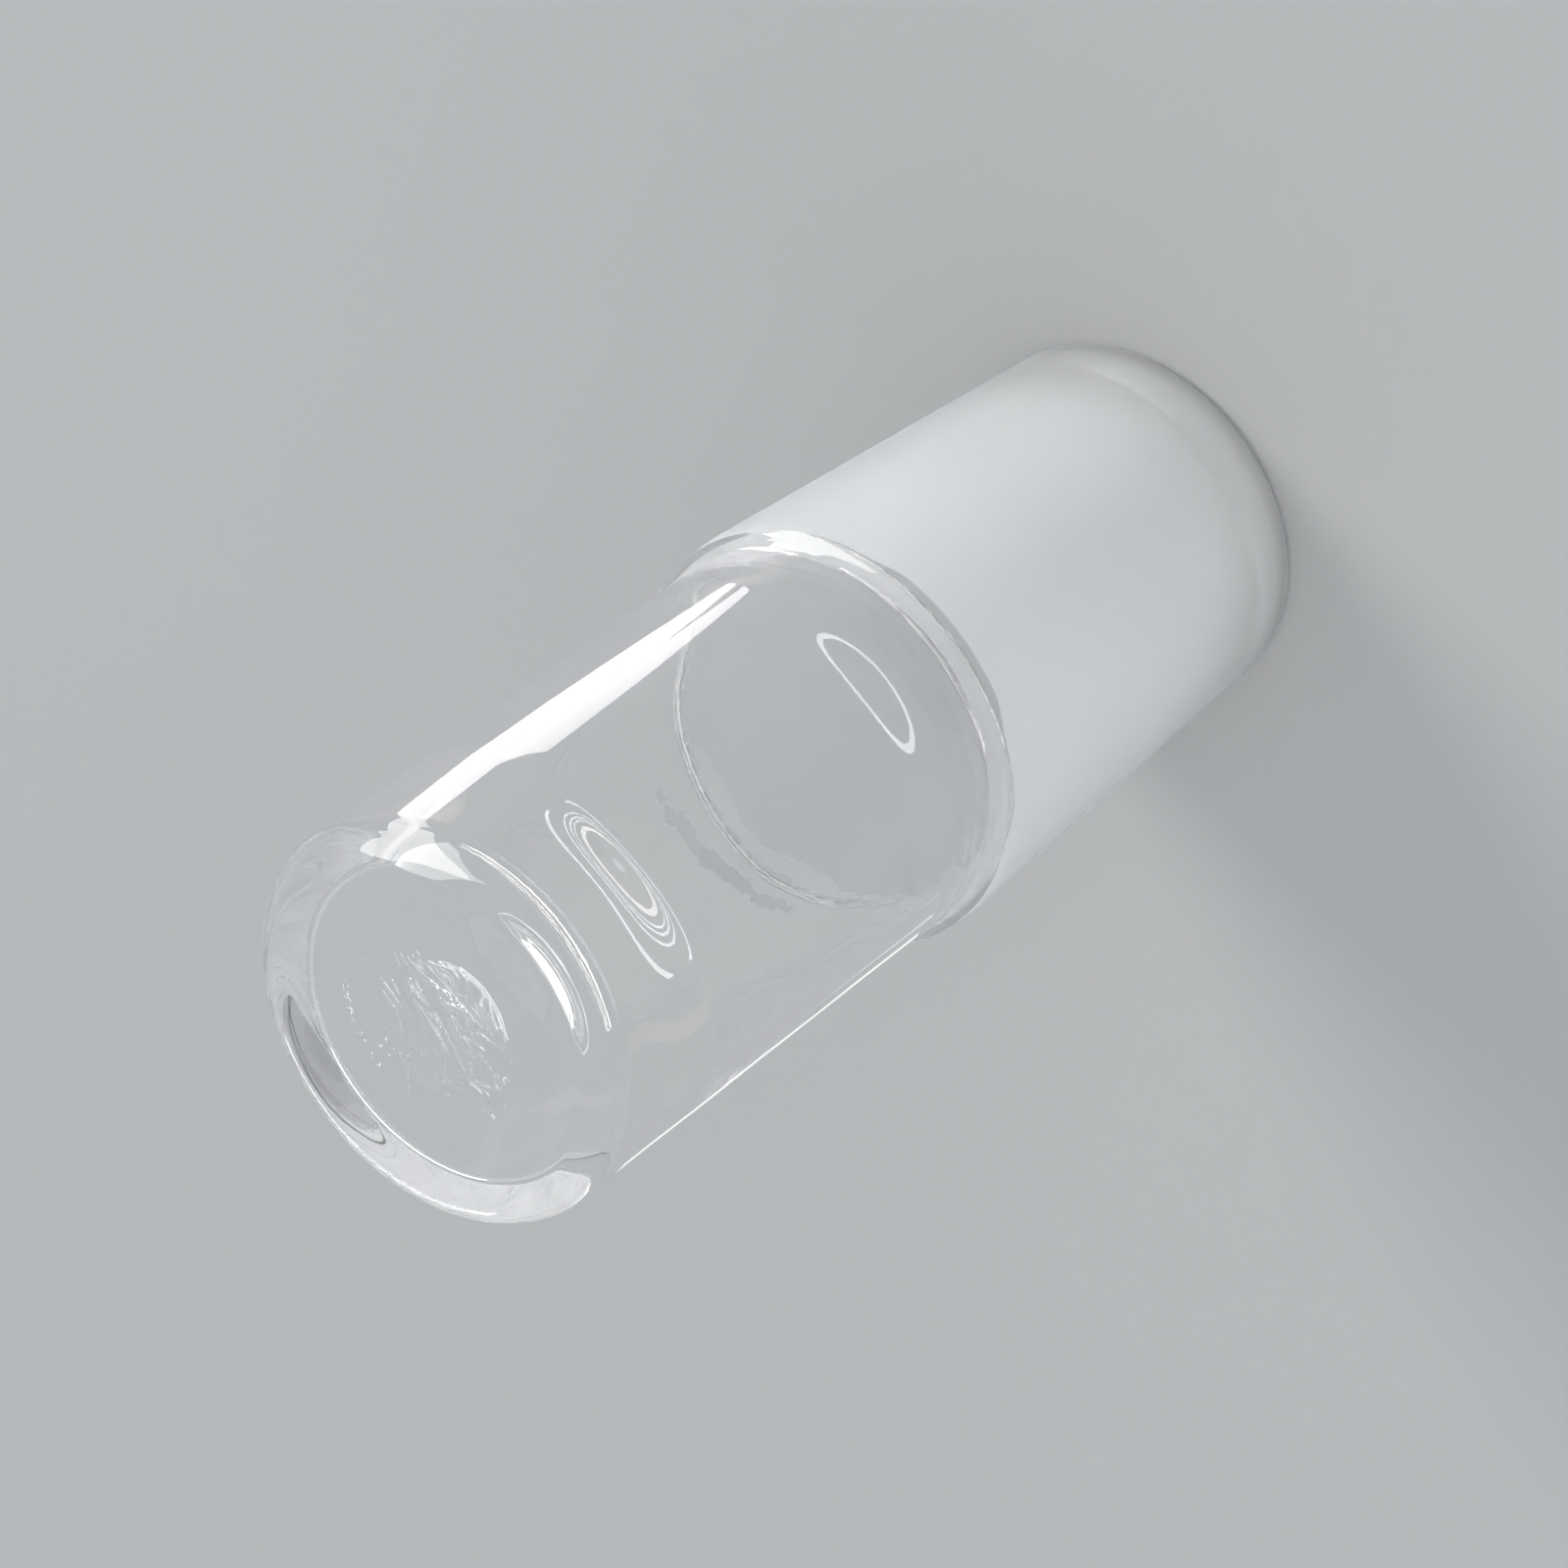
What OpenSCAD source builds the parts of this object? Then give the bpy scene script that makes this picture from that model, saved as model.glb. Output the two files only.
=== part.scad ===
// Hollow glass stopper for a standard ground joint, blown and pressed from one length of tube.
// The ground cone seats in the socket, and the clear handle is the same tube, sealed flat at its head.
// Z runs up the axis from the open rim of the small end, which the stopper stands on.

/* [Ground cone] */
// Diameter of the cone at its large end
large_end_d = 24; // [23:0.1:30]
// Length of the ground face, along the axis
ground_len = 29; // [15:0.5:45]
// Diameter gained over each millimetre of length, 1 in 10 on a standard joint
taper = 0.1; // [0.02:0.01:0.15]
// Thickness of the cone's wall
cone_wall = 2.3; // [1.2:0.1:3]
// Bevel on both edges of the open rim
rim_bevel = 0.4; // [0.1:0.1:0.5]

/* [Shoulder] */
// How far the shoulder stands out beyond the handle, all round
shoulder_step = 0.8; // [0.2:0.1:3]
// Radius over which the ground face turns in to the shoulder
shoulder_r = 0.4; // [0.2:0.1:0.7]
// Radius of the hollow curve from the shoulder up into the handle
neck_r = 1; // [0.5:0.1:3]
// Height above the shoulder at which the bore starts to narrow to the handle's
bore_rise = 1; // [0.5:0.5:3]
// Length over which it narrows
bore_blend = 6.5; // [3:0.5:8]

/* [Handle] */
// Length of the handle, from the shoulder to the flat of the head
handle_len = 33.5; // [25:0.5:60]
// Thickness of the tube's wall
handle_wall = 1.8; // [1.2:0.1:2.4]

/* [Head] */
// Thickness of the flat that closes the tube
head_t = 2.6; // [1.5:0.1:4]
// Radius of the melted edge round the outside of the head
head_round = 1.8; // [0.5:0.1:3]
// Radius of the corner inside the tube, under the head
head_corner = 0.8; // [0.3:0.1:2]
// How much the wall thickens below the head, where the glass gathered as the tube closed
gather_t = 0.45; // [0.1:0.05:1]
// Length over which it thickens
gather_len = 3; // [1:0.5:5]
// Depth below the inner face of the head at which the wall is at its thickest
gather_drop = 3.3; // [2.5:0.1:5]
// Diameter of the bead left under the head where the glass closed
seal_d = 8; // [4:0.5:12]
// Height of that bead
seal_h = 0.4; // [0.2:0.1:1]

/* [Hidden] */
$fn = 144;
// Steps that each eased stretch of the bore is drawn in
ease_steps = 12;

tilt = atan(taper / 2);
handle_r = large_end_d / 2 - shoulder_step;
cavity_r = handle_r - handle_wall;
head_z = ground_len + handle_len;
cavity_z = head_z - head_t;
rise_z = ground_len + bore_rise;
gather_z = cavity_z - gather_drop;

// Centre of the arc that rounds the large end of the cone, tangent to the ground face
edge_z = ground_len - shoulder_r;
edge_arc = [cone_r(edge_z) - shoulder_r / cos(tilt), edge_z];

// Centre of the arc that is tangent to the handle and runs on from it, or from a flat between them
neck_x = handle_r + neck_r;
arc_gap = max(neck_x - edge_arc.x, 0);
neck_arc = [neck_x, edge_z + sqrt(pow(shoulder_r + neck_r, 2) - pow(arc_gap, 2))];

// Radius of the ball whose cap is the bead
seal_ball_r = (pow(seal_d / 2, 2) + pow(seal_h, 2)) / (2 * seal_h);

// Outside radius of the cone at a height above the rim
function cone_r(z) = large_end_d / 2 - (ground_len - z) * taper / 2;

// Radius of the cone's bore at the same height, one wall in from the ground face
function bore_r(z) = cone_r(z) - cone_wall / cos(tilt);

// Share of the way from one bore to the next, level at both ends
function ease(t) = t * t * (3 - 2 * t);

// Points up the bore as its radius goes from one value to another, over a length that ends at a height
function eased(from, to, length, end) =
    [for (i = [0:ease_steps]) [
        from + (to - from) * ease(i / ease_steps),
        end + length * (i / ease_steps - 1)
    ]];

// Half section of a round bar from one height to another, with the edge of its top rounded
module bar_section(r, low, high, edge_r) {
    translate([0, low]) square([r, high - low - edge_r]);
    translate([0, low]) square([r - edge_r, high - low]);
    translate([r - edge_r, high - edge_r]) circle(edge_r);
}

// Half section of the cone, filled to the axis, up to where the neck meets the handle
module cone_section() {
    difference() {
        union() {
            polygon([
                [0, 0],
                [cone_r(0) - rim_bevel, 0],
                [cone_r(rim_bevel), rim_bevel],
                edge_arc + shoulder_r * [cos(tilt), -sin(tilt)],
                edge_arc,
                neck_arc,
                [0, neck_arc.y]
            ]);
            translate(edge_arc) circle(shoulder_r);
            translate([0, edge_z]) square([edge_arc.x, shoulder_r]);
        }
        translate(neck_arc) circle(neck_r);
    }
}

// Half section of the hollow inside, open through the rim and closed under the head
module hollow_section() {
    difference() {
        union() {
            polygon([
                [0, -rim_bevel],
                [bore_r(0) + 2 * rim_bevel, -rim_bevel],
                [bore_r(rim_bevel), rim_bevel],
                [bore_r(ground_len), ground_len],
                each eased(bore_r(ground_len), cavity_r, bore_blend, rise_z + bore_blend),
                each eased(cavity_r, cavity_r - gather_t, gather_len, gather_z),
                [0, gather_z]
            ]);
            bar_section(cavity_r - gather_t, gather_z, cavity_z, head_corner);
        }
        translate([0, cavity_z - seal_h + seal_ball_r]) circle(seal_ball_r);
    }
}

module stopper() {
    color([0.85, 0.9, 0.92, 0.5])
    rotate_extrude() {
        difference() {
            union() {
                cone_section();
                bar_section(handle_r, neck_arc.y, head_z, head_round);
            }
            hollow_section();
        }
    }
}

stopper();
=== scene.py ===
import math

import bpy
import numpy as np
from mathutils import Matrix, Vector


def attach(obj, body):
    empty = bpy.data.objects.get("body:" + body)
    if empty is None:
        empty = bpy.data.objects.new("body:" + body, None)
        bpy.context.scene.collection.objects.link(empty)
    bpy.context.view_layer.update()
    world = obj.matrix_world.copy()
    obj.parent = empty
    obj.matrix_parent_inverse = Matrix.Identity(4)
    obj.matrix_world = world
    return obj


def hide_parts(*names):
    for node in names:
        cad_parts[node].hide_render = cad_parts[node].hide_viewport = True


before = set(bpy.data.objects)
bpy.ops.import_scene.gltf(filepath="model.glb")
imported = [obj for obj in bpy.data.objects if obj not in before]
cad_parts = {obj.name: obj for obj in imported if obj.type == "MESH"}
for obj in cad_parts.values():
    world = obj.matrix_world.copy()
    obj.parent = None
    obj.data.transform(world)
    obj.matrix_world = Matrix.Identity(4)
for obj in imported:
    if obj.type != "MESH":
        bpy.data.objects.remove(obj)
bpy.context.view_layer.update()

mm = 0.001  # the sizes below are in millimetres
scene = bpy.context.scene

camera = dict(
    lens=158.2,
    sensor=36,
    distance=360.3,  # from the shoulder, along the line of sight
    elevation=43.2,  # degrees above the bench
    roll=-125.69,  # degrees, which lays the standing stopper down to the lower left
    aimRight=1.95,  # how far the shoulder lies from the middle of the picture
    aimUp=2.28,
    sees=(0.01, 20),  # from and to, in metres
)


def addCamera(c, shoulderZ):
    # the line of sight is level turned down by the elevation, and the roll turns right and up round it
    tilt = math.radians(c["elevation"])
    roll = math.radians(c["roll"])
    forward = Vector((0, math.cos(tilt), -math.sin(tilt)))
    level = Vector((1, 0, 0))
    plumb = Vector((0, math.sin(tilt), math.cos(tilt)))
    right = math.cos(roll) * level + math.sin(roll) * plumb
    up = -math.sin(roll) * level + math.cos(roll) * plumb
    aim = Vector((0, 0, shoulderZ)) - c["aimRight"] * right - c["aimUp"] * up
    place = aim - c["distance"] * forward
    data = bpy.data.cameras.new("camera")
    data.lens = c["lens"]
    data.sensor_width = c["sensor"]
    data.clip_start, data.clip_end = c["sees"]
    cam = bpy.data.objects.new("camera", data)
    turn = Matrix((right, up, -forward)).transposed().to_4x4()
    cam.matrix_world = Matrix.Translation(place * mm) @ turn
    scene.collection.objects.link(cam)
    scene.camera = cam
    print("camera:", c["lens"], "mm lens,", c["elevation"], "degrees above the bench")


stopperSize = dict(
    largeR=12.0,  # the ground cone, at the shoulder
    groundLen=29.0,
    slope=0.05,  # radius gained over each millimetre of length
    coneWall=2.3,
    rimBevel=0.4,
    shoulderR=0.4,
    shoulderTurn=55,  # degrees of it, from level, above which its rows keep their place
    neckR=1.0,
    handleR=11.2,
    handleLen=33.5,
    handleWall=1.8,
    headT=2.6,
    headRound=1.8,
    headCorner=0.8,
    sealD=8.0,
    sealH=0.4,
    sealReach=0.65,  # of that width, from the middle to where the bead has run out
    neckRise=(31.7, 35.7),  # heights between which the bore narrows to the handle's on the steep side
    neckSlow=(24.0, 42.0),  # and on the other
    neckHollow=(0.18, 95.0),  # depth of the hollow below that on the steep side, and its spread in degrees
    headRise=(53.6, 56.6, 0.45),  # the same under the head, and how much the wall gains there
    headSteep=(0.5, 40.0),  # steepness away from that side as a share, and the spread of the steep side
    headSkew=0.75,  # below 1 the steepest part lies low
    riseSide=7.5,  # degrees from the front, where both rises are steepest
    bend=0.37,  # how far the head leans to -X
    offCentre=0.35,  # how far the hollow lies to -X under the head
    outerWave=(0.006, 1),  # height of the drawn tube's waves, and their seed
    outerCalm=(2.0, 1.5),  # lengths over which they die away at the neck and at the head
    innerWave=(0.006, 2),
    innerCalm=4.0,
    around=320,  # points in each row
    closeRows=34,  # height on the handle below which the rows lie closer
    besideRise=1.5,  # how far the closer rows of the bore reach past each rise
    rows=dict(head=12, headRound=16, handle=26, foot=16, neck=9, shoulder=4, lip=13, ground=24, rim=5,
              cone=22, neckRise=34, bore=14, headRise=34, corner=10, roof=62),
)


def arc(cx, cz, r, start, end, count):
    # points at even steps round (cx, cz), the angles in degrees from the +r axis
    a = np.radians(np.linspace(start, end, count))
    return np.column_stack([cx + r * np.cos(a), cz + r * np.sin(a)])


def line(a, b, count):
    # points at even steps from a to b: (1 - t) a + t b
    t = np.linspace(0, 1, count)[:, None]
    return (1 - t) * np.array(a, float) + t * np.array(b, float)


def ease(x):
    # 0 below 0, 1 above 1 and 3x^2 - 2x^3 between
    x = np.clip(x, 0, 1)
    return x * x * (3 - 2 * x)


def fromFront(angle):
    # degrees from -Y, + toward +X, for an angle counted from +X
    return (np.degrees(angle) + 270) % 360 - 180


def waves(angle, z, seed, count=14, turns=(1, 7), rate=(0.05, 0.9)):
    # a sum of sines that run round and along the tube, each of random pitch and phase, scaled to about +-1
    rng = np.random.default_rng(seed)
    total = 0 * angle
    for _ in range(count):
        m, k = rng.integers(*turns), rng.uniform(*rate) * rng.choice([-1, 1])
        total = total + rng.uniform(0.3, 1) * np.sin(m * angle + k * z + rng.uniform(0, 2 * math.pi))
    return total / math.sqrt(count) / 0.7


def wavesRound(angle, seed, turns):
    # the same, of twelve sines that only run round
    return waves(angle, 0 * angle, seed, 12, turns)


def coneRadius(s, z):
    # the ground cone: its large radius less the slope times the depth below the shoulder
    return s["largeR"] - (s["groundLen"] - z) * s["slope"]


def wallRadius(s, z, angle):
    # the bore at a height: parallel to the cone, then eased in to the handle's and again under the head.
    # on the steep side the first rise starts from a shallow hollow, and the second is shortest
    def side(spread):
        return 1 / (1 + ((fromFront(angle) - s["riseSide"]) / spread) ** 2) ** 2

    tilt = math.atan(s["slope"])
    low = coneRadius(s, np.minimum(z, s["groundLen"])) - s["coneWall"] / math.cos(tilt)
    high = s["handleR"] - s["handleWall"]
    neckA, neckB = s["neckRise"]
    slowA, slowB = s["neckSlow"]
    headA, headB, gain = s["headRise"]
    depth, spread = s["neckHollow"]
    near = side(spread)
    low = low + depth * near * ease(z / neckA)
    neck = near * ease((z - neckA) / (neckB - neckA)) + (1 - near) * ease((z - slowA) / (slowB - slowA))
    least, spread = s["headSteep"]
    steep = least + (1 - least) * side(spread)
    along = np.clip((z - (headA + headB) / 2) / (headB - headA) * steep + 0.5, 0, 1)
    return low + (high - low) * neck - gain * ease(along ** s["headSkew"])


def shoulderArcs(s):
    # centre of the round edge of the shoulder, which the ground cone is tangent to, then of the hollow curve
    # tangent to that edge and to the handle, and the angle in degrees at which the two arcs meet
    edgeZ = s["groundLen"] - s["shoulderR"]
    edgeX = coneRadius(s, edgeZ) - s["shoulderR"] / math.cos(math.atan(s["slope"]))
    neckX = s["handleR"] + s["neckR"]
    neckZ = edgeZ + math.sqrt((s["shoulderR"] + s["neckR"]) ** 2 - (neckX - edgeX) ** 2)
    meet = math.degrees(math.atan2(neckZ - edgeZ, neckX - edgeX))
    return (edgeX, edgeZ), (neckX, neckZ), meet


def lipRadius(s, z):
    # the ground cone, and above it the round edge of the shoulder: its centre plus sqrt(r^2 - lift^2)
    (edgeX, edgeZ), _, _ = shoulderArcs(s)
    lift = np.clip(z - edgeZ, 0, s["shoulderR"])
    return np.where(z > edgeZ, edgeX + np.sqrt(s["shoulderR"] ** 2 - lift ** 2), coneRadius(s, z))


groundBand = dict(
    front=2.0,  # degrees from -Y, where the edge of the band is lowest
    low=28.05,  # its height there
    rises=((0.5, 18, 12), (0.35, 42, 20)),  # height gained to the sides, degrees of its start and length
    behind=(27.5, 95, 35),  # height round the back, and the same
    ragged=((0.5, 5, (1, 9)), (0.12, 6, (20, 60))),  # waves of it there: height, seed and turns
    highest=28.9,
    patch=(  # left by the wheel on the shoulder, behind: heights of its lower and upper edge, with their waves
        (28.5, 0.12, 9, (12, 50)),
        (28.85, 0.12, 10, (8, 40)),
    ),
    patchFrom=(118, 8, 11),  # degrees from the front where it starts, and the waves and seed of that
    patchRows=20,
    slip=(160, 62),  # where a slip of the wheel above the shoulder starts, and its length, in degrees
    slipZ=(32.4, -1.4),  # height at the start and the change along it
    slipWave=(0.3, 12, (6, 30)),
    slipHalf=0.8,  # half its width
    slipRough=(0.25, 13, (10, 60)),
)


def groundEdge(g, angle):
    # height at which the ground band ends: low in front, eased up on the shoulder at the sides, and a height
    # plus waves round the back
    away = np.abs(fromFront(angle) - g["front"])
    sides = g["low"]
    for gain, start, spread in g["rises"]:
        sides = sides + gain * ease((away - start) / spread)
    ragged, start, spread = g["behind"]
    for height, seed, turns in g["ragged"]:
        ragged = ragged + height * wavesRound(angle, seed, turns)
    back = ease((away - start) / spread)
    return np.minimum(sides * (1 - back) + ragged * back, g["highest"])


twist = dict(
    folds=(  # where the glass was twisted shut: height and half width of each fold, then points along it
        (0.085, 0.40, ((2.4, -0.4), (1.0, 0.0), (-0.6, 0.5), (-1.9, 1.4), (-3.2, 3.0))),
        (-0.07, 0.22, ((0.7, -0.5), (-0.1, -0.6), (-1.1, -0.3), (-2.1, 0.2), (-2.9, 0.7), (-3.6, 0.3),
                       (-4.2, -0.5))),
        (0.06, 0.45, ((-1.2, -1.5), (-2.4, -1.2), (-3.4, -1.6), (-4.6, -1.7))),
        (0.05, 0.18, ((2.2, 1.6), (1.4, 2.0), (0.5, 2.7), (-0.4, 2.4))),
        (-0.04, 0.16, ((1.9, 0.8), (1.0, 1.0), (-0.1, 1.5), (-1.3, 2.4))),
        (0.04, 0.15, ((3.2, -1.6), (1.8, -1.5), (0.6, -2.1), (-0.9, -2.0), (-2.2, -2.5), (-3.6, -2.3))),
        (-0.03, 0.14, ((3.4, -0.9), (2.0, -1.0), (0.9, -1.5), (-0.4, -1.3), (-1.6, -2.0))),
        (0.05, 0.13, ((1.6, 0.5), (0.9, 0.2), (0.5, -0.4), (-0.3, -0.9), (-0.9, -0.7))),
        (-0.05, 0.12, ((2.9, 0.2), (2.1, 0.5), (1.5, -0.1), (0.8, -0.9), (0.2, -1.6))),
        (0.04, 0.10, ((3.0, -0.5), (2.2, -0.3), (1.7, -0.8), (1.0, -1.2), (0.5, -2.4))),
        (0.10, 1.10, ((4.2, 1.6), (3.0, 1.2), (1.8, 2.0))),
        (0.07, 0.60, ((-3.2, 1.6), (-4.4, 0.6), (-5.4, -1.2))),
    ),
    pathPoints=40,  # along each
    wander=0.12,  # how far small waves bend them
    fine=0.022,  # height of the small winding lines between them
    pitch=9.5,  # of those lines, in radians a millimetre
    reach=(-0.6, 0.2, 6.2, 4.2),  # centre and half sizes of the ellipse that all of it fades out over
    fade=2.2,  # how quickly
)


def smoothPath(points, count):
    # one polynomial a coordinate, through all the points
    points = np.array(points, float)
    knots = np.linspace(0, 1, len(points))
    t = np.linspace(0, 1, count)
    return np.column_stack([np.polyval(np.polyfit(knots, q, len(points) - 1), t) for q in points.T])


def roofRelief(t, x, y):
    # folds, each a bell curve of the distance from its path, and small sines of a distance that slower waves
    # bend, all of it eased to nothing at an ellipse
    x = x + t["wander"] * np.sin(3.1 * y + 1.2 * x)
    y = y + t["wander"] * np.sin(2.7 * x - 0.8 * y)
    total = 0 * x
    for height, width, points in t["folds"]:
        path = smoothPath(points, t["pathPoints"])
        near = np.hypot(x[..., None] - path[:, 0], y[..., None] - path[:, 1]).min(-1)
        total = total + height * np.exp(-(near / width) ** 2)
    across = y + 0.3 * x + 0.5 * np.sin(1.3 * x + 0.4) + 0.3 * np.sin(2.1 * x - 1.7 * y)
    patchy = ease(0.5 + 0.9 * np.sin(1.4 * x + 2.2 * y) * np.sin(0.9 * x - 1.3 * y + 1))
    total = total + t["fine"] * patchy * np.sin(t["pitch"] * across + 2 * np.sin(1.9 * x + y))
    cx, cy, rx, ry = t["reach"]
    return total * ease(t["fade"] * (1 - np.hypot((x - cx) / rx, (y - cy) / ry)))


def outsideRows(s, angle):
    # lines and arcs from the middle of the head down to the shoulder, turned round the axis, with slow waves
    (edgeX, edgeZ), (neckX, neckZ), meet = shoulderArcs(s)
    n, r = s["rows"], s["handleR"]
    top = s["groundLen"] + s["handleLen"]
    flatR, roundZ = r - s["headRound"], top - s["headRound"]
    profile = np.vstack([
        line((0, top), (flatR, top), n["head"])[:-1],
        arc(flatR, roundZ, s["headRound"], 90, 0, n["headRound"])[:-1],
        line((r, roundZ), (r, s["closeRows"]), n["handle"])[:-1],
        line((r, s["closeRows"]), (r, neckZ), n["foot"])[:-1],
        arc(neckX, neckZ, s["neckR"], 180, 180 + meet, n["neck"])[:-1],
        arc(edgeX, edgeZ, s["shoulderR"], meet, s["shoulderTurn"], n["shoulder"]),
    ])
    radius, z = profile[:, :1] + 0 * angle, profile[:, 1:] + 0 * angle
    size, seed = s["outerWave"]
    low, high = s["outerCalm"]
    onHandle = ease((z - neckZ) / low) * ease((top - z) / high)
    return radius + size * onHandle * waves(angle + 0 * z, z, seed), z


def coneRows(s, angle, lipZ):
    # at even steps down from the shoulder to the edge of the ground band, and from there to the rim's bevel
    n = s["rows"]
    share = np.concatenate([np.linspace(0, 1, n["lip"])[1:], np.linspace(1, 2, n["ground"])[1:]])[:, None]
    edge = groundEdge(groundBand, angle)
    z = np.where(share <= 1, lipZ + (edge - lipZ) * share, edge + (s["rimBevel"] - edge) * (share - 1))
    return lipRadius(s, z), z


def rimRows(s, angle):
    # level and at even steps across the rim, from bevel to bevel
    t = np.linspace(0, 1, s["rows"]["rim"])[:, None]
    outer = coneRadius(s, 0)
    inner = outer - s["coneWall"] / math.cos(math.atan(s["slope"]))
    radius = (outer - s["rimBevel"]) * (1 - t) + (inner + s["rimBevel"]) * t
    return radius + 0 * angle, 0 * radius + 0 * angle


def wallRows(s, angle, roof):
    # up the bore, with closer rows at its two rises, and slow waves
    n = s["rows"]
    neckA, neckB = s["neckRise"][0] - s["besideRise"], s["neckRise"][1] + s["besideRise"]
    headA = s["headRise"][0] - s["besideRise"]
    z = np.concatenate([
        np.linspace(s["rimBevel"], neckA, n["cone"])[:-1],
        np.linspace(neckA, neckB, n["neckRise"])[:-1],
        np.linspace(neckB, headA, n["bore"])[:-1],
        np.linspace(headA, roof - s["headCorner"], n["headRise"]),
    ])[:, None]
    radius = wallRadius(s, z, angle + 0 * z)
    size, seed = s["innerWave"]
    calm = ease(z / s["innerCalm"]) * ease((roof - z) / s["innerCalm"])
    return radius + size * calm * waves(angle + 0 * z, z, seed), z + 0 * angle


def roofRows(s, angle, roof):
    # an arc and a level line to the middle under the head, less the eased bead, plus the relief of the twist
    r = s["headCorner"]
    flatR = s["handleR"] - s["handleWall"] - s["headRise"][2] - r
    corner = arc(flatR, roof - r, r, 0, 90, s["rows"]["corner"])[1:]
    flat = line(corner[-1], (0, roof), s["rows"]["roof"])[1:]
    flat[:, 1] -= s["sealH"] * ease(1 - flat[:, 0] / (s["sealReach"] * s["sealD"]))
    profile = np.vstack([corner, flat])
    radius, z = profile[:, :1] + 0 * angle, profile[:, 1:] + 0 * angle
    return radius, z + roofRelief(twist, radius * np.cos(angle), radius * np.sin(angle))


def stopperSurface(s):
    # three grids, x, y and z, whose rows run from the middle of the head down the outside, across the rim and
    # up the inside to the middle of the roof, and whose columns run once round: r cos a + lean and r sin a.
    # the last number is the row along the edge of the ground band
    angle = np.arange(s["around"])[None, :] * 2 * math.pi / s["around"]
    roof = s["groundLen"] + s["handleLen"] - s["headT"]
    outside = outsideRows(s, angle)
    cone = coneRows(s, angle, outside[1][-1, 0])
    rim = rimRows(s, angle)
    parts = [outside, cone, rim, wallRows(s, angle, roof), roofRows(s, angle, roof)]
    radius = np.vstack([r for r, z in parts])
    height = np.vstack([z for r, z in parts])
    firstInside = len(outside[0]) + len(cone[0]) + len(rim[0])
    inside = (np.arange(len(radius)) >= firstInside)[:, None]
    up = np.clip((height - s["groundLen"]) / s["handleLen"], 0, 1)
    lean = -s["bend"] * up - s["offCentre"] * up * inside
    bandRow = len(outside[0]) + s["rows"]["lip"] - 2
    return radius * np.cos(angle) + lean, radius * np.sin(angle), height, bandRow


airInHead = dict(
    draws=8,  # seed of the random places
    seeds=(  # x, y and radius of each large seed
        (0.4, 4.0, 0.13),
        (0.5, 3.3, 0.1),
        (-0.2, 3.8, 0.1),
        (-0.45, 3.1, 0.09),
        (-0.1, 3.3, 0.06),
        (-0.8, 2.7, 0.07),
    ),
    seedZ=61.2,
    seedRows=7,
    seedAround=10,
    streak=((4.1, 3.4), (2.9, 4.1), (1.2, 4.8), (-0.4, 5.1)),  # along which small seeds lie
    streakCount=44,
    streakR=(0.025, 0.06),
    streakSpread=(0.08, 0.12, 0.15),  # of the places, in x, y and z
    streakLong=2,  # how many times as long as wide the seeds are
    dustCount=60,  # the smallest seeds, all round the middle
    dustR=(0.015, 0.045),
    dustX=(-0.5, 2.2),  # middle and spread
    dustY=(0.3, 1.6),
    dustZ=(60.4, 61.4),  # lowest and highest
    lines=(  # long bubbles: half thickness, then points along each, at x, y, z
        (0.05, ((-0.76, 3.1, 61.2), (-1.3, 3.3, 61.2), (-1.9, 3.9, 61.2), (-3.0, 4.8, 61.1))),
        (0.09, ((2.0, -0.2, 60.6), (0.6, 0.2, 60.5), (-0.9, 0.4, 60.4), (-2.2, 1.2, 60.4), (-3.0, 2.6, 60.5))),
        (0.07, ((0.4, -0.5, 60.5), (-0.7, -0.3, 60.4), (-1.9, 0.1, 60.3), (-2.8, 0.4, 60.3),
                (-3.5, 0.1, 60.4))),
        (0.06, ((1.9, 1.6, 60.8), (1.2, 1.7, 60.8), (0.4, 2.2, 60.8))),
        (0.05, ((2.8, -1.9, 60.6), (1.2, -2.3, 60.5), (-0.8, -2.5, 60.4), (-2.0, -2.8, 60.5))),
    ),
    lineRows=40,
    lineAround=8,
    lineTaper=0.6,  # power of the sine that thins both ends
    lineLumps=(0.2, 17),  # share of the thickness that swells and shrinks, and how fast
)


def seedSurface(s, x, y, z, r, long=1):
    # a ball of air, drawn out along X, its rows from bottom to top so that its faces look into the air
    up = np.radians(np.linspace(-90, 90, s["seedRows"]))[:, None]
    turn = np.linspace(0, 2 * math.pi, s["seedAround"], endpoint=False)[None, :]
    ring = r * np.cos(up)
    return x + long * ring * np.cos(turn), y + ring * np.sin(turn), z + r * np.sin(up) + 0 * turn


def airLine(s, r, points):
    # a thin round bubble along a smooth path: the path plus a ring square to it, whose width is a power of a
    # sine that ends at nothing, with small lumps
    t = np.linspace(0, 1, s["lineRows"])
    path = smoothPath(points, len(t))
    along = np.gradient(path, axis=0)
    along /= np.linalg.norm(along, axis=1)[:, None]
    side = np.cross(along, (0, 0, 1))
    side /= np.linalg.norm(side, axis=1)[:, None]
    over = np.cross(side, along)
    turn = np.linspace(0, 2 * math.pi, s["lineAround"], endpoint=False)
    lumps, rate = s["lineLumps"]
    width = r * np.sin(math.pi * t) ** s["lineTaper"]
    width = width * (1 - lumps + lumps * np.sin(rate * t))
    ring = np.cos(turn)[None, :, None] * side[:, None] - np.sin(turn)[None, :, None] * over[:, None]
    return tuple(np.moveaxis(path[:, None] + width[:, None, None] * ring, 2, 0))


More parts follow.
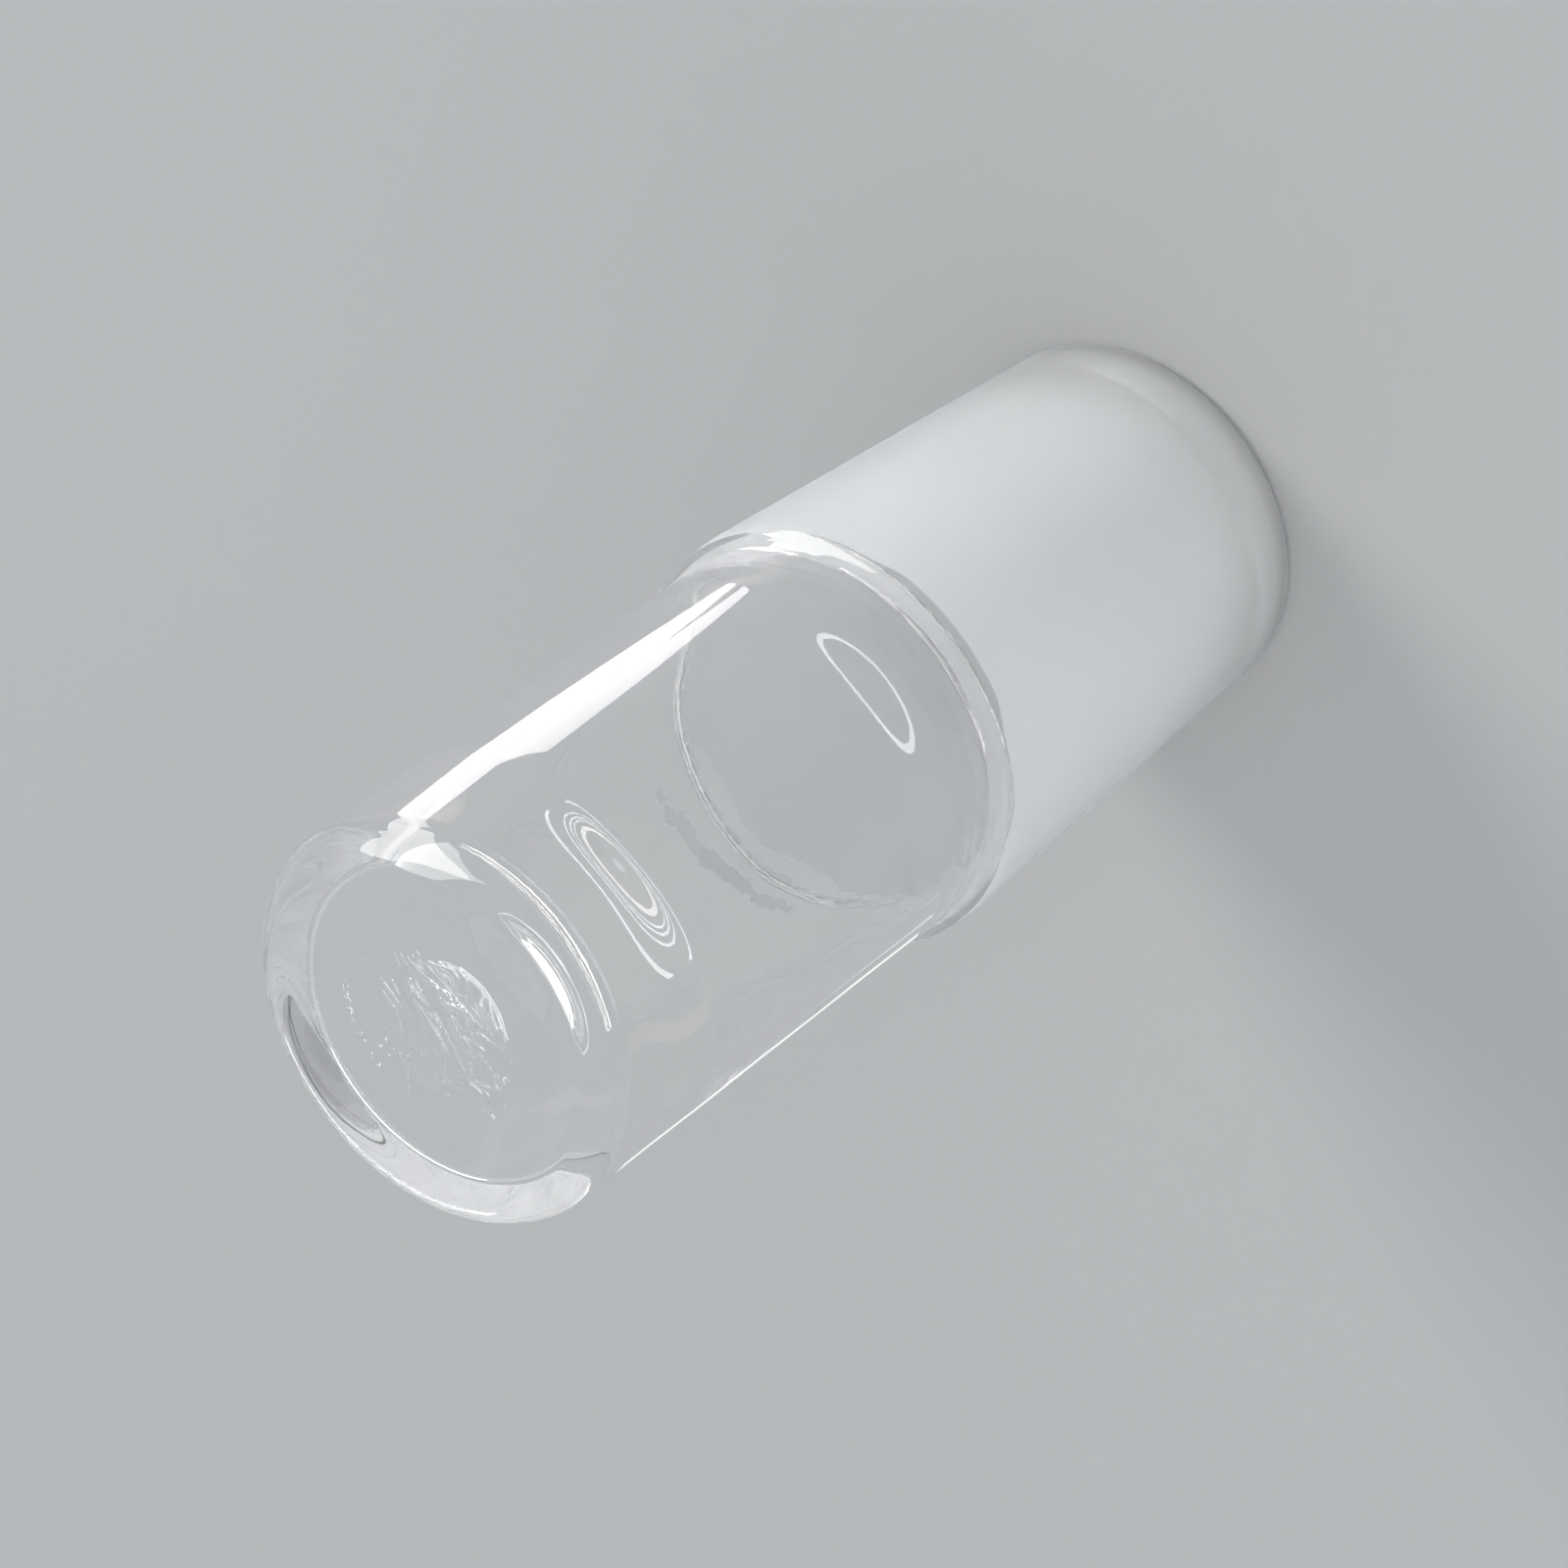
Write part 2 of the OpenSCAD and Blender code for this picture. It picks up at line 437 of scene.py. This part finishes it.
def airSurfaces(s):
    # the large seeds, the streak of drawn-out ones, the finest seeds and the long bubbles
    rng = np.random.default_rng(s["draws"])
    found = [seedSurface(s, x, y, s["seedZ"], r) for x, y, r in s["seeds"]]
    path = np.array(s["streak"])
    knots = np.linspace(0, 1, len(path))
    spreadX, spreadY, spreadZ = s["streakSpread"]
    for t in rng.uniform(0, 1, s["streakCount"]):
        r = rng.uniform(*s["streakR"])
        x = np.interp(t, knots, path[:, 0]) + rng.normal(0, spreadX)
        y = np.interp(t, knots, path[:, 1]) + rng.normal(0, spreadY)
        z = s["seedZ"] + rng.normal(0, spreadZ)
        found.append(seedSurface(s, x, y, z, r, s["streakLong"]))
    for _ in range(s["dustCount"]):
        r = rng.uniform(*s["dustR"])
        x, y, z = rng.normal(*s["dustX"]), rng.normal(*s["dustY"]), rng.uniform(*s["dustZ"])
        found.append(seedSurface(s, x, y, z, r))
    return found + [airLine(s, r, points) for r, points in s["lines"]]


def closedGrid(x, y, z):
    # points, corner numbers and corners a face, of a surface whose first and last rows close to a point
    rows, around = x.shape
    rows -= 2
    poles = [[g[0].mean() for g in (x, y, z)], [g[-1].mean() for g in (x, y, z)]]
    co = np.vstack([np.stack([g[1:-1] for g in (x, y, z)], -1).reshape(-1, 3), poles]) * mm
    i, j = np.meshgrid(np.arange(rows - 1), np.arange(around), indexing="ij")
    k = (j + 1) % around
    near, far = i * around, (i + 1) * around
    quads = np.stack([near + j, far + j, far + k, near + k], -1).reshape(-1, 4)
    j = np.arange(around)
    k = (j + 1) % around
    last = (rows - 1) * around
    top = np.stack([0 * j + rows * around, j, k], -1)
    bottom = np.stack([0 * j + rows * around + 1, last + k, last + j], -1)
    corners = np.concatenate([quads.ravel(), top.ravel(), bottom.ravel()])
    return co, corners, np.concatenate([np.full(len(quads), 4), np.full(2 * around, 3)])


def glassMesh(name, surfaces):
    # one mesh of several closed surfaces, set down one after another
    parts = [closedGrid(*g) for g in surfaces]
    starts = np.cumsum([0] + [len(part[0]) for part in parts[:-1]])
    co = np.vstack([part[0] for part in parts])
    corners = np.concatenate([part[1] + start for part, start in zip(parts, starts)])
    counts = np.concatenate([part[2] for part in parts])
    faceStarts = np.concatenate([[0], np.cumsum(counts)[:-1]])
    mesh = bpy.data.meshes.new(name)
    mesh.vertices.add(len(co))
    mesh.vertices.foreach_set("co", co.ravel())
    mesh.loops.add(len(corners))
    mesh.loops.foreach_set("vertex_index", corners.astype(np.int32))
    mesh.polygons.add(len(counts))
    mesh.polygons.foreach_set("loop_start", faceStarts.astype(np.int32))
    mesh.polygons.foreach_set("use_smooth", np.ones(len(counts), bool))
    mesh.update(calc_edges=True)
    piece = bpy.data.objects.new(name, mesh)
    scene.collection.objects.link(piece)
    return piece


def groundFaces(s, g, z, bandRow, faces):
    # True for each face of the ground band, of the ragged patch that it left on the shoulder behind, between
    # two wavy heights, and of the slip above that: a half ellipse on each side of a sloping wavy line
    around = z.shape[1]
    height = z[1:-2]
    angle = (np.arange(around) + 0.5)[None, :] * 2 * math.pi / around
    row = np.arange(1, len(z) - 2)[:, None]
    bandEnd = bandRow + s["rows"]["ground"] + s["rows"]["rim"] - 1
    band = (row >= bandRow) & (row < bandEnd)
    low, high = (level + size * wavesRound(angle, seed, turns) for level, size, seed, turns in g["patch"])
    start, size, seed = g["patchFrom"]
    behind = np.abs(fromFront(angle)) > start + size * waves(angle, 0 * angle, seed)
    near = (row < bandRow) & (row > bandRow - g["patchRows"])
    patch = near & (height > low) & (height < high) & behind
    start, length = g["slip"]
    t = ((fromFront(angle) + 360) % 360 - start) / length
    size, seed, turns = g["slipWave"]
    middle = g["slipZ"][0] + g["slipZ"][1] * t + size * wavesRound(angle, seed, turns)
    rough, seed, turns = g["slipRough"]
    half = g["slipHalf"] * np.sqrt(np.clip(4 * t * (1 - t), 0, 1))
    half = half * (1 - rough + rough * wavesRound(angle, seed, turns))
    slip = (row < bandRow) & (np.abs(height - middle) < half)
    marked = band | patch | slip
    mask = np.zeros(faces, bool)
    mask[:marked.size] = marked.ravel()
    return mask


glassFinish = dict(
    ior=1.47,
    ripple=0.2,  # of the drawn tube
    rippleSize=5.0,  # millimetres, as the other sizes
    rippleDepth=0.03,
    touch=dict(Size=9.0, Patchiness=0.2),  # smears that handling leaves
    smear=0.012,  # roughness in them
    touchTint=(0.98, 0.99, 0.985, 1),
    grain=0.5,  # of the ground face
    grainDepth=0.02,
    grinding={"Grain size": 0.12, "Lines": 0.35},  # the lines are turned, round the cone
    roughness=(0.72, 0.9),
    roughSize=7.0,
    groundTint=(1, 1, 0.995, 1),
    blueTint=(0.975, 0.985, 1, 1),  # of its random patches, above the last few millimetres, which stay whiter as a painted glow at the rim
    blueAbovePaintedGlow=(3.0, 11.0),  # heights over which that comes in; below them the cone is painted whiter, a painted glow just above the rim
    through=0.58,  # how much of the light goes through the ground face
)


def setInputs(target, values):
    # a socket is linked, and a number or a colour is set
    for name, value in values.items():
        if isinstance(value, bpy.types.NodeSocket):
            target.id_data.links.new(value, target.inputs[name])
        else:
            target.inputs[name].default_value = value


def node(tree, kind, values, **settings):
    # settings come first, because a group node has its sockets only once its group is set
    new = tree.nodes.new(kind)
    for name, value in settings.items():
        setattr(new, name, value)
    setInputs(new, values)
    return new


def noise(tree, values):
    # a height or a patchiness from 0 to 1
    return node(tree, "ShaderNodeTexNoise", values).outputs["Fac"]


def mathNode(tree, operation, *numbers):
    return node(tree, "ShaderNodeMath", dict(enumerate(numbers)), operation=operation).outputs[0]


def bumped(tree, height, strength, depth):
    values = {"Height": height, "Strength": strength, "Distance": depth * mm}
    return node(tree, "ShaderNodeBump", values).outputs["Normal"]


def mixed(tree, share, a, b):
    return node(tree, "ShaderNodeMix", {"Factor": share, "A": a, "B": b}, data_type="RGBA").outputs[2]


def newGroup(name, inputs, outputs):
    # the group, the sockets of its input node and its output node
    tree = bpy.data.node_groups.new(name, "ShaderNodeTree")
    kind = "NodeSocketFloat"
    for socket, value in inputs:
        tree.interface.new_socket(name=socket, in_out="INPUT", socket_type=kind).default_value = value
    for socket in outputs:
        tree.interface.new_socket(name=socket, in_out="OUTPUT", socket_type=kind)
    return tree, tree.nodes.new("NodeGroupInput").outputs, tree.nodes.new("NodeGroupOutput")


def millimetres(tree, stretch=(1, 1, 1)):
    # object coordinates in millimetres, stretched along each axis
    place = node(tree, "ShaderNodeTexCoord", {}).outputs["Object"]
    scale = tuple(k / mm for k in stretch)
    return node(tree, "ShaderNodeMapping", {"Vector": place, "Scale": scale}).outputs["Vector"]


def unevenness():
    # slow waves and patches of a given size: a height, and a mask of patches
    tree, given, out = newGroup("unevenness", [("Size", 4.0), ("Patchiness", 0.5)], ["Height", "Mask"])
    scale = mathNode(tree, "DIVIDE", 1.0, given["Size"])
    drawn = noise(tree, {"Vector": millimetres(tree, (1, 1, 0.3)), "Scale": scale, "Detail": 2.0})
    patches = noise(tree, {"Vector": millimetres(tree), "Scale": scale, "Detail": 5.0, "Distortion": 0.6})
    high = 0.75
    low = mathNode(tree, "SUBTRACT", high, given["Patchiness"])
    mask = node(tree, "ShaderNodeMapRange", {"Value": patches, "From Min": low, "From Max": high})
    setInputs(out, {"Height": drawn, "Mask": mask.outputs["Result"]})
    return tree


def grinding():
    # a sharp grain, and fine lines that run round the axis because the noise is squeezed along it
    tree, given, out = newGroup("grinding", [("Grain size", 0.1), ("Lines", 0.3)], ["Height"])
    scale = mathNode(tree, "DIVIDE", 1.0, given["Grain size"])
    grain = noise(tree, {"Vector": millimetres(tree), "Scale": scale, "Detail": 3.0})
    turned = noise(tree, {"Vector": millimetres(tree, (0.15, 0.15, 5)), "Scale": 1.0, "Detail": 3.0})
    setInputs(out, {"Height": mathNode(tree, "MULTIPLY_ADD", turned, given["Lines"], grain)})
    return tree


def newMaterial(name):
    # the material, its nodes and its shader
    m = bpy.data.materials.new(name)
    m.use_nodes = True
    return m, m.node_tree, m.node_tree.nodes["Principled BSDF"]


def clearGlass(f, uneven):
    # rippled along the tube, and a little smeared and tinted where it was handled
    m, tree, shader = newMaterial("clearGlass")
    wave = node(tree, "ShaderNodeGroup", {"Size": f["rippleSize"]}, node_tree=uneven).outputs["Height"]
    touch = node(tree, "ShaderNodeGroup", f["touch"], node_tree=uneven).outputs["Mask"]
    smear = node(tree, "ShaderNodeMapRange", {"Value": touch, "To Min": 0.0, "To Max": f["smear"]})
    setInputs(shader, {
        "Base Color": mixed(tree, touch, (1, 1, 1, 1), f["touchTint"]),
        "Roughness": smear.outputs["Result"],
        "Normal": bumped(tree, wave, f["ripple"], f["rippleDepth"]),
        "IOR": f["ior"],
        "Transmission Weight": 1,
    })
    return m


def groundGlass(f, uneven, ground):
    # rough all over, a little bluer in random patches, and whiter in the last few millimetres above the rim,
    # which is a painted glow
    m, tree, shader = newMaterial("groundGlass")
    marks = node(tree, "ShaderNodeGroup", f["grinding"], node_tree=ground).outputs["Height"]
    patches = node(tree, "ShaderNodeGroup", {"Size": f["roughSize"]}, node_tree=uneven).outputs["Mask"]
    low, high = f["roughness"]
    rough = node(tree, "ShaderNodeMapRange", {"Value": patches, "To Min": low, "To Max": high})
    height = node(tree, "ShaderNodeSeparateXYZ", {"Vector": millimetres(tree)}).outputs["Z"]
    low, high = f["blueAbovePaintedGlow"]
    middle = node(tree, "ShaderNodeMapRange", {"Value": height, "From Min": low, "From Max": high},
                  interpolation_type="SMOOTHSTEP")
    # the blue patches fade out low down, so the cone is painted whiter there, a painted glow just above the
    # rim
    bluePatchesAbovePaintedGlow = mathNode(tree, "MULTIPLY", middle.outputs["Result"], patches)
    setInputs(shader, {
        "Base Color": mixed(tree, bluePatchesAbovePaintedGlow, f["groundTint"], f["blueTint"]),
        "Roughness": rough.outputs["Result"],
        "Normal": bumped(tree, marks, f["grain"], f["grainDepth"]),
        "IOR": f["ior"],
        "Transmission Weight": f["through"],
    })
    return m


x, y, z, bandRow = stopperSurface(stopperSize)
print("wall:", len(x), "rows of", stopperSize["around"], "points")
air = airSurfaces(airInHead)
print("air in the head:", len(air), "seeds and bubbles")
piece = glassMesh("glassStopper", [(x, y, z)] + air)
uneven = unevenness()
piece.data.materials.append(clearGlass(glassFinish, uneven))
piece.data.materials.append(groundGlass(glassFinish, uneven, grinding()))
ground = groundFaces(stopperSize, groundBand, z, bandRow, len(piece.data.polygons))
piece.data.polygons.foreach_set("material_index", ground.astype(np.int32))
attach(piece, "root")
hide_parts("stopper")
print("stopper:", len(ground), "faces,", ground.sum(), "of them ground")

addCamera(camera, stopperSize["groundLen"])

white = (1, 1, 1)
rose = (1, 0.98, 1)
sky = (0.9, 0.95, 1.0)

stage = dict(
    floorHalf=3,  # metres
    floorColour=(0.41, 0.41, 0.41),
    skyColour=sky,
    skyStrength=0.6,
    bounces=64,
    softBounces=16,
    lamps=(  # name, place, aim, width and length, watts, and whether the glass mirrors its shape
        ("key", (662, 37, 545), (0, 0, 45), (300, 660), 3.2, True),
        ("top", (-300, -120, 700), (0, 0, 30), (900, 900), 2.2, False),
        ("back", (-60, 520, 215), (0, 0, 25), (1500, 360), 1.1, False),
        ("fill", (0, -900, 300), (0, 0, 30), (900, 400), 2.7, False),
    ),
    # cards that lie over the floor: name, height, strength, colour, whether they show inside the glass, and
    # corners. the first two are seen in the side of the handle, and the rear ones as a long and a short thin
    # line down its far side
    flatCards=(
        ("sideGlow", 0.5, 0.5, rose, True,
         ((40.5, 5.7), (41.6, -2), (76, 11), (199, 56), (177, 104), (68.5, 32.5))),
        ("sideCard", 1, 5, rose, False,
         ((41.3, 8.4), (42, 5), (51, 3.2), (42.6, 1.4), (43.2, -2.5), (55.8, -7.9), (66.5, -11), (70, 4),
          (80, 1), (173, -33), (485, -57), (483, 60), (125, 14), (72, 26), (62, 27), (51, 18.5))),
        ("rearCard", 1, 1.3, white, False, ((-19.3, 31.6), (-27.5, 65), (-35, 61), (-23.7, 29.4))),
        ("rearCard", 1, 1.1, white, False, ((-30.1, 23.2), (-28.3, 24.9), (-38.5, 37.5))),
    ),
    frontStrips=(  # seen in the neck and under the head: distances and heights of both edges, strength, colour
        (97, 108, 1, 1.5, 40, white),
        (146, 152, 9, 10, 36, white),
        (190, 191, 5, 8, 12, sky),
        (190, 191, 12, 14, 12, sky),
        (200, 206, 20, 25, 20, (1, 0.96, 0.88)),
    ),
    frontEnds=(-1.1, 1.8),  # where they end to the left and right, as shares of the distance
    softStrips=((38, 44), (52, 55), (64, 72)),  # further ones: lowest and highest
    softSpan=(-240, 240, -300),  # left, right and y
    softStrength=4,
    softColour=(0.88, 0.93, 1),
    backStrips=((165, 179), (190, 204), (215, 229)),  # behind, seen in the folds under the head
    backSpan=(-160, 40, 420),
    backStrength=8,
    # a tall window to the right, seen in the rounded edge of the head: degrees of height, then degrees from
    # the front of its left and right sides there
    window=((-7, 74, 97), (10, 73, 97), (24, 72, 99), (38, 70, 125), (47, 68, 166), (54, 67, 150),
            (60, 70, 120)),
    windowFrom=61,  # height that it is measured from
    windowReach=500,
    windowStrength=7,
)


def addFloor(s):
    h = s["floorHalf"]
    mesh = bpy.data.meshes.new("floor")
    mesh.from_pydata([(-h, -h, 0), (h, -h, 0), (h, h, 0), (-h, h, 0)], [], [(0, 1, 2, 3)])
    floor = bpy.data.objects.new("floor", mesh)
    scene.collection.objects.link(floor)
    m, tree, shader = newMaterial("floor")
    setInputs(shader, {"Base Color": (*s["floorColour"], 1), "Roughness": 1, "Specular IOR Level": 0})
    mesh.materials.append(m)


def addLamp(name, place, aim, size, power, mirrored):
    # a soft panel, whose own shape the glass shows only where mirrored is set
    data = bpy.data.lights.new(name, "AREA")
    data.shape = "RECTANGLE"
    data.size, data.size_y = size[0] * mm, size[1] * mm
    data.energy = power
    lamp = bpy.data.objects.new(name, data)
    place, aim = Vector(place) * mm, Vector(aim) * mm
    lamp.location = place
    lamp.rotation_euler = (aim - place).to_track_quat("-Z", "Y").to_euler()
    lamp.visible_camera = False
    lamp.visible_glossy = mirrored
    lamp.visible_transmission = mirrored
    scene.collection.objects.link(lamp)


def addCard(name, corners, strength, colour=white, through=True):
    # a lit card that shows only in reflections, and not in what is seen straight through the glass:
    # where through is set, also in those inside the glass
    mesh = bpy.data.meshes.new(name)
    mesh.from_pydata([Vector(c) * mm for c in corners], [], [tuple(range(len(corners)))])
    card = bpy.data.objects.new(name, mesh)
    scene.collection.objects.link(card)
    m, tree, shader = newMaterial(name)
    path = node(tree, "ShaderNodeLightPath", {})
    setInputs(shader, {
        "Base Color": (0, 0, 0, 1),
        "Alpha": mathNode(tree, "GREATER_THAN", path.outputs["Glossy Depth"], 0.5),
        "Emission Color": (*colour, 1),
        "Emission Strength": strength,
    })
    mesh.materials.append(m)
    card.visible_camera = card.visible_diffuse = card.visible_shadow = False
    card.visible_transmission = through
    return card


def upright(left, right, y, low, high):
    # the four corners of a card that stands square to Y
    return [(left, y, low), (right, y, low), (right, y, high), (left, y, high)]


def windowCorner(s, rise, turn):
    # a point at that many degrees of height and of turn from -Y toward +X
    rise = math.radians(rise)
    turn = math.radians(turn)
    reach = s["windowReach"]
    level = reach * math.cos(rise)
    return (level * math.sin(turn), -level * math.cos(turn), s["windowFrom"] + reach * math.sin(rise))


def addCards(s):
    # low, far and tall cards, in the order of the settings
    cards = []
    for name, height, strength, colour, through, points in s["flatCards"]:
        cards.append(addCard(name, [(x, y, height) for x, y in points], strength, colour, through))
    left, right = s["frontEnds"]
    for near, far, low, high, strength, colour in s["frontStrips"]:
        bottom = [(left * near, -near, low), (right * near, -near, low)]
        top = [(right * far, -far, high), (left * far, -far, high)]
        cards.append(addCard("frontStrip", bottom + top, strength, colour))
    for low, high in s["softStrips"]:
        corners = upright(*s["softSpan"], low, high)
        cards.append(addCard("softStrip", corners, s["softStrength"], s["softColour"]))
    for low, high in s["backStrips"]:
        cards.append(addCard("backStrip", upright(*s["backSpan"], low, high), s["backStrength"]))
    for below, above in zip(s["window"], s["window"][1:]):
        bottom = [windowCorner(s, below[0], below[1]), windowCorner(s, below[0], below[2])]
        top = [windowCorner(s, above[0], above[2]), windowCorner(s, above[0], above[1])]
        cards.append(addCard("window", bottom + top, s["windowStrength"], through=False))
    return cards


addFloor(stage)
for lamp in stage["lamps"]:
    addLamp(*lamp)
cards = addCards(stage)
print("stage:", len(stage["lamps"]), "lamps,", len(cards), "cards and a floor")

world = bpy.data.worlds.new("world")
scene.world = world
world.use_nodes = True
background = world.node_tree.nodes["Background"]
setInputs(background, {"Color": (*stage["skyColour"], 1), "Strength": stage["skyStrength"]})

scene.view_settings.view_transform = "Standard"
scene.cycles.transmission_bounces = stage["bounces"]
scene.cycles.glossy_bounces = stage["bounces"]
scene.cycles.max_bounces = stage["bounces"]
scene.cycles.diffuse_bounces = stage["softBounces"]
scene.cycles.use_denoising = True
print("world and light settings done")
